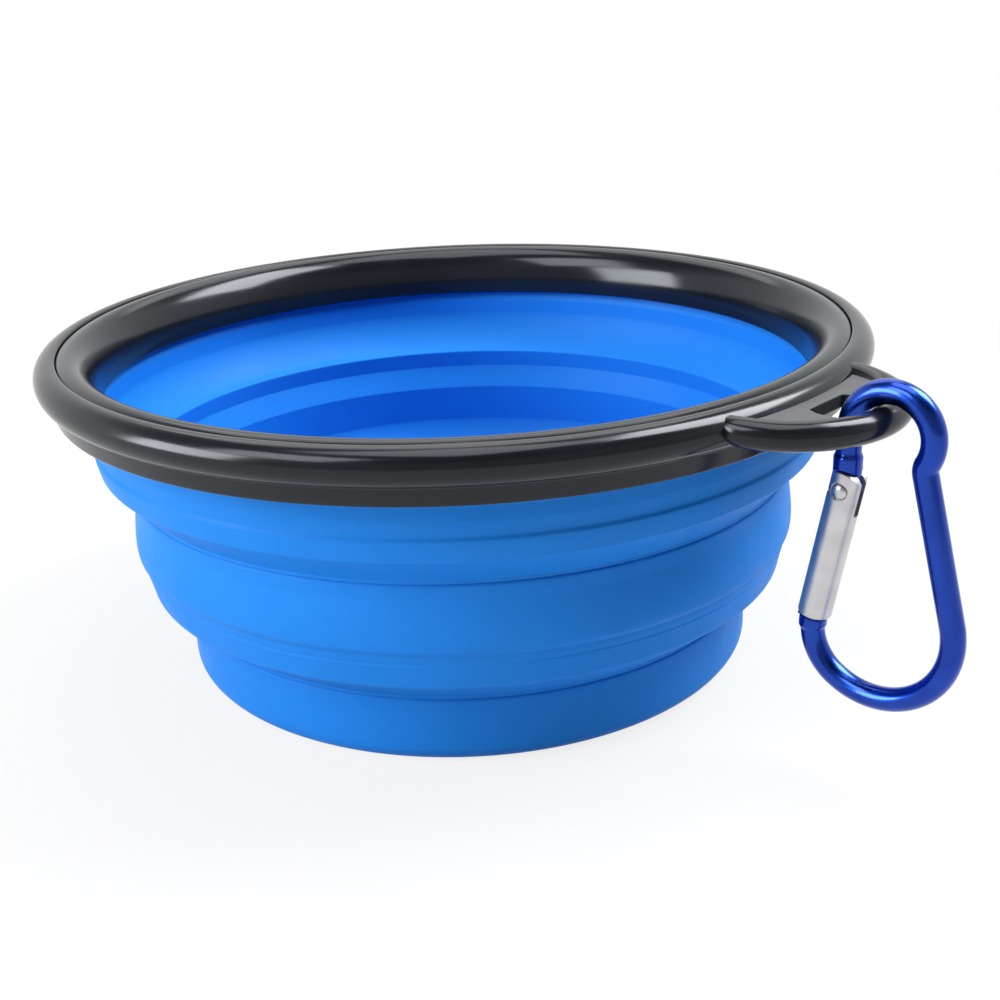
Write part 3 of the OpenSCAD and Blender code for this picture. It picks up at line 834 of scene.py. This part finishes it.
def carabiner_rod():
    """Rod swept along its path, thicker at the collars by its two ends. The pivot end is hollowed to the
    gate's round head, and the nose end is flat with a rounded edge."""
    path = rod_path()
    lengths = np.concatenate([[0], np.cumsum(np.linalg.norm(np.diff(path, axis=0), axis=1))])
    from_end = lengths[-1] - lengths

    def collar(distance):
        s = np.clip((collar_l - distance) / collar_ramp + 0.5, 0, 1)
        return (collar_r - rod_r) * s * s * (3 - 2 * s)

    dip = np.clip(1 - from_end / nose_round, 0, 1)
    thick = rod_r + np.maximum(collar(lengths), collar(from_end))
    radii = thick - nose_round * (1 - np.sqrt(1 - dip * dip))
    heading = np.gradient(path, axis=0)
    heading /= np.linalg.norm(heading, axis=1)[:, None]
    across = np.column_stack([heading[:, 1], -heading[:, 0]])
    a = full_turn(ROD_SIDES)
    caps = np.linspace(0.1, 0.9, 5)
    flat = path[:, None] + (radii[:, None] * np.cos(a))[..., None] * across[:, None]
    side = radii[:, None] * np.sin(a)[None, :]
    head_cap = path[0] + (caps[:, None] * radii[0] * np.cos(a))[..., None] * across[0]
    head_side = caps[:, None] * radii[0] * np.sin(a)[None, :]
    tail_cap = path[-1] + (caps[::-1, None] * radii[-1] * np.cos(a))[..., None] * across[-1]
    tail_side = caps[::-1, None] * radii[-1] * np.sin(a)[None, :]
    flat = np.concatenate([head_cap, flat, tail_cap])
    side = np.concatenate([head_side, side, tail_side])
    hollow = np.sqrt(np.maximum(shoulder_y ** 2 - (flat[..., 0] - pivot[0]) ** 2, 0))
    first = np.arange(len(flat)) <= len(caps)
    lowest = pivot[1] + hollow
    flat[..., 1] = np.where(first[:, None], lowest, flat[..., 1])
    near_head = (np.arange(len(flat)) > len(caps)) & (np.arange(len(flat)) < len(caps) + HEAD_ROWS)
    above = np.maximum(flat[..., 1], lowest + hollow_gap)
    flat[..., 1] = np.where(near_head[:, None], above, flat[..., 1])
    points = stood_up(flat, side).reshape(-1, 3)
    poles = stood_up(np.array([pivot + [0, shoulder_y], path[-1]]), 0.0)
    return np.concatenate([points, poles]), capped_faces(len(flat), ROD_SIDES)


def plate(outline, thickness):
    """Flat plate in the gate's plane with rounded edges: rings of the outline drawn in towards its middle,
    stepped in depth along a quarter circle at each face."""
    outline = np.asarray(outline, float)
    middle = outline.mean(axis=0)
    ahead = np.roll(outline, -1, axis=0) - np.roll(outline, 1, axis=0)
    normal = np.column_stack([ahead[:, 1], -ahead[:, 0]])
    normal /= np.linalg.norm(normal, axis=1)[:, None]
    normal *= np.sign(np.einsum("ij,ij->", normal, outline - middle))
    q = np.radians(np.linspace(90, 0, 5))
    inset = np.concatenate([plate_edge * (1 - np.cos(q)), plate_edge * (1 - np.cos(q[::-1]))])
    depth = np.concatenate([thickness / 2 - plate_edge * (1 - np.sin(q)),
                            -thickness / 2 + plate_edge * (1 - np.sin(q[::-1]))])
    rings = outline[None] - inset[:, None, None] * normal[None]
    flat = along_gate(rings[..., 0], rings[..., 1])
    points = stood_up(flat, depth[:, None]).reshape(-1, 3)
    centre = along_gate(middle[:1], middle[1:])
    poles = np.concatenate([stood_up(centre, thickness / 2), stood_up(centre, -thickness / 2)])
    return np.concatenate([points, poles]), capped_faces(len(depth), len(outline))


def tongue_outline():
    """Pivot tongue: from the rod's end down past the pivot, with the outer stop, the flat cam end and a
    sloping inner side."""
    top = gate_head + 1.0
    lean = top * math.tan(gate_tilt)
    points = [(-gate_r, gate_head), (-gate_r, -stop_drop), (-cam_w / 2, -stop_drop), (-cam_w / 2, -cam_drop),
              (cam_w / 2, -cam_drop), (rod_r, 0), (rod_r - lean * 0.5, gate_head), (rod_r - lean, top),
              (-rod_r - lean * 0.4, top)]
    return spaced(rounded(points, [0.3, 0.25, 0.08, 0.15, 0.25, 0.6, 0.3, 0.1, 0.1]), PLATE_STEP)


def blade_outline():
    """Nose blade that stands in the gate's lower slot, just inside its outer side."""
    left = -gate_r + slot_play
    right = blade_in - slot_play
    top = -gate_l + blade_l
    foot = -gate_l - nose_gap - collar_l / 2
    points = [(left, foot), (right, foot), (right, top), (left, top)]
    return spaced(rounded(points, [0.05, 0.05, 0.3, 0.4]), PLATE_STEP)


carabiner = new_piece("carabiner_rod", [carabiner_rod(), plate(tongue_outline(), tongue_t),
                                        plate(blade_outline(), tongue_t)], anodised)
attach(carabiner, "carabiner")
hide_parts("carabiner_body")


# Gate: a bar with its slots cut, and the rivet in its seats

def gate_bar():
    """Round bar along the gate, with a rounded lower edge and a head rounded about the pivot's axis."""
    lower = corner((0, -gate_l), (gate_r, -gate_l), (gate_r, 0), gate_edge)
    sides = 72
    a = full_turn(sides)
    share = np.concatenate([np.zeros(len(lower)), np.linspace(0, 1, 24)[1:]])[:, None]
    radius = np.concatenate([lower[:, 0], np.full(len(share) - len(lower), gate_r)])[:, None]
    start = np.concatenate([lower[:, 1], np.full(len(share) - len(lower), lower[-1, 1])])[:, None]
    x = radius * np.cos(a)
    z = radius * np.sin(a)
    y = start + share * (np.sqrt(gate_head ** 2 - x * x) - start)
    points = stood_up(along_gate(x, y), z).reshape(-1, 3)
    caps = np.linspace(0.9, 0.1, 9)[:, None]
    cap_x = caps * gate_r * np.cos(a)
    cap_y = np.sqrt(gate_head ** 2 - cap_x ** 2)
    cap = stood_up(along_gate(cap_x, cap_y), caps * gate_r * np.sin(a)).reshape(-1, 3)
    rows = len(share) + len(caps)
    poles = np.concatenate([stood_up(along_gate(np.zeros(1), np.array([-gate_l])), 0.0),
                            stood_up(along_gate(np.zeros(1), np.array([gate_head])), 0.0)])
    return np.concatenate([points, cap, poles]), capped_faces(rows, sides)


def gate_block(x0, x1, y0, y1, z0, z1):
    """Box in the gate's own plane, as a surface of eight points, for a slot to be cut."""
    x, y, z = np.meshgrid([x0, x1], [y0, y1], [z0, z1], indexing="ij")
    points = stood_up(along_gate(x, y), z).reshape(-1, 3)
    faces = np.array([[0, 1, 3, 2], [4, 6, 7, 5], [0, 4, 5, 1], [2, 3, 7, 6], [0, 2, 6, 4], [1, 5, 7, 3]])
    return points, faces


def gate_drum(radius, z0, z1):
    """Round plug across the gate at its pivot, for a seat to be cut."""
    sides = 48
    a = full_turn(sides)
    flat = along_gate(radius * np.cos(a), radius * np.sin(a))
    points = np.concatenate([stood_up(flat, z0), stood_up(flat, z1)])
    ends = np.stack([stood_up(pivot, z0), stood_up(pivot, z1)])
    return np.concatenate([points, ends]), capped_faces(2, sides)


def cut_away(piece, cutters):
    """Takes the cutters' shapes out of a piece, one at a time, and keeps the result as its mesh, without
    doubled points and faces of no area."""
    for part in cutters:
        cutter = new_piece("cutter", [part], piece.data.materials[0])
        modifier = piece.modifiers.new("cut", "BOOLEAN")
        modifier.operation = "DIFFERENCE"
        modifier.solver = "EXACT"
        modifier.object = cutter
        graph = bpy.context.evaluated_depsgraph_get()
        mesh = bpy.data.meshes.new_from_object(piece.evaluated_get(graph))
        piece.modifiers.clear()
        piece.data = mesh
        bpy.data.objects.remove(cutter)
    weld = 1e-6
    clean = bmesh.new()
    clean.from_mesh(piece.data)
    bmesh.ops.remove_doubles(clean, verts=clean.verts, dist=weld)
    bmesh.ops.dissolve_degenerate(clean, edges=clean.edges, dist=weld)
    clean.to_mesh(piece.data)
    clean.free()


gate = new_piece("gate_bar", [gate_bar()], satin_aluminium)
slot_half = tongue_t / 2 + slot_play
stop_y = -stop_drop - slot_play
far_out = 2 * gate_r + gate_l
cut_away(gate, [gate_block(-far_out, -gate_r + cheek_cut, stop_y, far_out, -far_out, far_out),
                gate_block(-far_out, far_out, stop_y, far_out, -slot_half, slot_half),
                gate_block(-cam_w / 2 - 2 * slot_play, far_out, -slit_l, stop_y + 0.5, -slot_half, slot_half),
                gate_block(-far_out, blade_in, -far_out, -gate_l + blade_l + 2 * slot_play,
                           -slot_half, slot_half),
                gate_drum(head_d / 2 + seat_play, gate_r - seat_drop, 2 * gate_r),
                gate_drum(head_d / 2 + seat_play, -2 * gate_r, -gate_r + seat_drop)])
soft_edge = gate.modifiers.new("soft_edge", "BEVEL")
soft_edge.width = 0.09 * MM
soft_edge.segments = 2
soft_edge.limit_method = "ANGLE"
soft_edge.angle_limit = math.radians(40)
soft_edge.harden_normals = True
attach(gate, "gate")
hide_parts("carabiner_gate")


def rivet_body():
    """Rivet turned about the pivot's axis: a low domed head at each end of a plain pin."""
    seat = gate_r - seat_drop
    tip = seat + head_t
    q = np.linspace(0, 1, 10) * math.pi / 2
    dome = np.column_stack([head_d / 2 * np.sin(q), seat + head_edge + (head_t - head_edge) * np.cos(q)])
    half = np.concatenate([dome, [[head_d / 2, seat], [rivet_r, seat]]])
    profile = np.concatenate([half, half[::-1] * [1, -1]])
    inner = spaced(profile, RIVET_STEP, closed=False)[1:-1]
    sides = 48
    a = full_turn(sides)
    flat = along_gate(inner[:, :1] * np.cos(a), inner[:, :1] * np.sin(a))
    points = stood_up(flat, inner[:, 1:]).reshape(-1, 3)
    ends = np.stack([stood_up(pivot, tip), stood_up(pivot, -tip)])
    return np.concatenate([points, ends]), capped_faces(len(inner), sides)


rivet = new_piece("pivot_rivet", [rivet_body()], steel)
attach(rivet, "gate")
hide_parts("gate_rivet")


def gate_axis(y):
    """Points on the gate's own axis at the given heights from its pivot."""
    return stood_up(along_gate(np.zeros_like(y), y), 0.0)


def coil_spring():
    """Round wire wound about the gate's axis: a helix of even pitch from the plunger to the bore's end."""
    s = np.linspace(0, 1, COIL_STEPS * spring_turns + 1)
    a = TAU * spring_turns * s
    y = spring_top + (spring_foot - spring_top) * s
    path = stood_up(along_gate(coil_r * np.cos(a), y), coil_r * np.sin(a))
    middle = gate_axis(y)
    down = (middle[-1] - middle[0]) / np.linalg.norm(middle[-1] - middle[0])
    upright = np.tile(down, (len(s), 1))
    return tube(path, (path - middle) / coil_r, upright, np.full(len(s), wire_d / 2), COIL_SIDES)


coil = new_piece("gate_coil_spring", [coil_spring()], steel)
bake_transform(coil)
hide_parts("gate_spring")

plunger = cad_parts["spring_plunger"]
plunger.data.materials.clear()
plunger.data.materials.append(steel)


# Studio: floor, world, lights and camera

# Rise of the ceiling's grey, way and spread of the room's, and the floor's drop and shadow in metres
CEILING_RISE = (0.40, 0.75)
ROOM_WAY = (0.7, -0.71, 0)
ROOM_SPREAD = (-0.1, 0.7)
FLOOR_DROP = 0.0002
SHADOW_REACH = (0.06, 0.26)


def math_of(tree, operation, first, second):
    """Result of a Math node on two sources."""
    node = add_node(tree, "ShaderNodeMath", operation=operation)
    tree.links.new(first, node.inputs[0])
    tree.links.new(second, node.inputs[1])
    return node.outputs[0]


def smooth_step(tree, source, ends, low, high):
    """Value that goes smoothly from low to high as the source goes from one end to the other."""
    node = add_node(tree, "ShaderNodeMapRange", interpolation_type="SMOOTHSTEP")
    for name, value in zip(("From Min", "From Max", "To Min", "To Max"), (*ends, low, high)):
        node.inputs[name].default_value = value
    tree.links.new(source, node.inputs["Value"])
    return node.outputs["Result"]


def mix_into(tree, output, share, first, second):
    """Links a mix of two shaders to the surface of an output node."""
    mix = add_node(tree, "ShaderNodeMixShader")
    tree.links.new(share, mix.inputs["Fac"])
    tree.links.new(first.outputs[0], mix.inputs[1])
    tree.links.new(second.outputs[0], mix.inputs[2])
    tree.links.new(mix.outputs[0], tree.nodes[output].inputs["Surface"])


def background_rays(tree):
    """One where a ray comes from the camera, a glossy surface or a clear one, nought for diffuse light."""
    path = add_node(tree, "ShaderNodeLightPath")
    seen = math_of(tree, "MAXIMUM", path.outputs["Is Camera Ray"], path.outputs["Is Glossy Ray"])
    return math_of(tree, "MAXIMUM", seen, path.outputs["Is Transmission Ray"])


def studio_world(soft_light, ceiling, room):
    """White backdrop all round for the camera. Gloss sees white walls that darken to the ceiling's grey
    overhead and to the room's grey on the camera's side. Soft even light comes from all round at the given
    strength."""
    world = bpy.data.worlds.new("studio")
    world.use_nodes = True
    tree = world.node_tree
    lit = tree.nodes["Background"]
    lit.inputs["Color"].default_value = (1, 1, 1, 1)
    lit.inputs["Strength"].default_value = soft_light
    way = add_node(tree, "ShaderNodeTexCoord").outputs["Generated"]
    part = add_node(tree, "ShaderNodeSeparateXYZ")
    tree.links.new(way, part.inputs[0])
    front = add_node(tree, "ShaderNodeVectorMath", operation="DOT_PRODUCT")
    front.inputs[1].default_value = ROOM_WAY
    tree.links.new(way, front.inputs[0])
    overhead = smooth_step(tree, part.outputs["Z"], CEILING_RISE, 1.0, ceiling)
    forward = smooth_step(tree, front.outputs["Value"], ROOM_SPREAD, 1.0, room)
    grey = math_of(tree, "MULTIPLY", overhead, forward)
    path = add_node(tree, "ShaderNodeLightPath")
    seen = math_of(tree, "MAXIMUM", path.outputs["Is Camera Ray"], grey)
    white = add_node(tree, "ShaderNodeBackground", Color=(1, 1, 1, 1))
    tree.links.new(seen, white.inputs["Strength"])
    mix_into(tree, "World Output", background_rays(tree), lit, white)
    bpy.context.scene.world = world


def studio_floor(radius, share):
    """Round pale floor that reads white to the camera and keeps a soft shadow near the object: there, share
    of its look is lit, and further out it fades to plain white."""
    a = full_turn(96)
    points = np.column_stack([radius * np.cos(a), radius * np.sin(a), np.zeros_like(a)])
    mesh = bpy.data.meshes.new("floor")
    mesh.from_pydata(points.tolist(), [], [list(range(len(a)))])
    floor = bpy.data.objects.new("floor", mesh)
    bpy.context.scene.collection.objects.link(floor)
    floor.location.z = -FLOOR_DROP
    material = bpy.data.materials.new("pale_floor")
    material.use_nodes = True
    tree = material.node_tree
    tree.nodes.remove(tree.nodes["Principled BSDF"])
    diffuse = add_node(tree, "ShaderNodeBsdfDiffuse", Color=(0.62, 0.62, 0.62, 1))
    white = add_node(tree, "ShaderNodeEmission")
    place = add_node(tree, "ShaderNodeTexCoord")
    far = add_node(tree, "ShaderNodeVectorMath", operation="LENGTH")
    tree.links.new(place.outputs["Object"], far.inputs[0])
    fade = smooth_step(tree, far.outputs["Value"], SHADOW_REACH, 1 - share, 1.0)
    mix_into(tree, "Material Output", math_of(tree, "MULTIPLY", fade, background_rays(tree)), diffuse, white)
    mesh.materials.append(material)


def softbox(name, azimuth, elevation, distance, width, height, power):
    """Rectangular area light that faces the bowl, at an azimuth from +X and an elevation in degrees."""
    aim = Vector((0, 0, 0.035))
    across = math.cos(math.radians(elevation))
    way = Vector((across * math.cos(math.radians(azimuth)), across * math.sin(math.radians(azimuth)),
                  math.sin(math.radians(elevation))))
    lamp = bpy.data.lights.new(name, "AREA")
    lamp.shape = "RECTANGLE"
    lamp.size = width
    lamp.size_y = height
    lamp.energy = power
    light = bpy.data.objects.new(name, lamp)
    light.location = aim + distance * way
    light.rotation_euler = (-way).to_track_quat("-Z", "Y").to_euler()
    bpy.context.scene.collection.objects.link(light)


def photo_camera():
    """Camera at the photograph's place: it looks along its line of sight, rolled slightly about it."""
    place = Vector((0.15282, -0.15272, 0.10595))
    sight = Vector((-0.6406, 0.6775, -0.3614)).normalized()
    roll = math.radians(-2.134)
    level_right = sight.cross(Vector((0, 0, 1))).normalized()
    level_up = level_right.cross(sight)
    right = math.cos(roll) * level_right + math.sin(roll) * level_up
    up = math.cos(roll) * level_up - math.sin(roll) * level_right
    lens = bpy.data.cameras.new("photo_camera")
    lens.lens = 49.63
    lens.sensor_width = 36
    lens.clip_start = 0.01
    lens.clip_end = 50
    camera = bpy.data.objects.new("photo_camera", lens)
    turn = Matrix((right, up, -sight)).transposed().to_4x4()
    camera.matrix_world = Matrix.Translation(place) @ turn
    bpy.context.scene.collection.objects.link(camera)
    bpy.context.scene.camera = camera


# Name, azimuth, elevation, distance, width, height and power of each softbox
SOFTBOXES = [("left_low_softbox", -118, 18, 0.75, 0.40, 0.36, 5.4),
             ("left_high_softbox", -100, 45, 0.75, 0.40, 0.30, 2.3),
             ("right_softbox", 56, 50, 0.75, 0.40, 0.46, 8.8),
             ("back_softbox", 137, 48, 0.75, 0.60, 0.35, 1.3),
             ("top_softbox", 0, 90, 0.75, 0.50, 0.50, 2.8)]
studio_world(0.15, 0.15, 0.35)
studio_floor(4.0, 0.18)
for values in SOFTBOXES:
    softbox(*values)
photo_camera()
bpy.context.scene.view_settings.view_transform = "Standard"
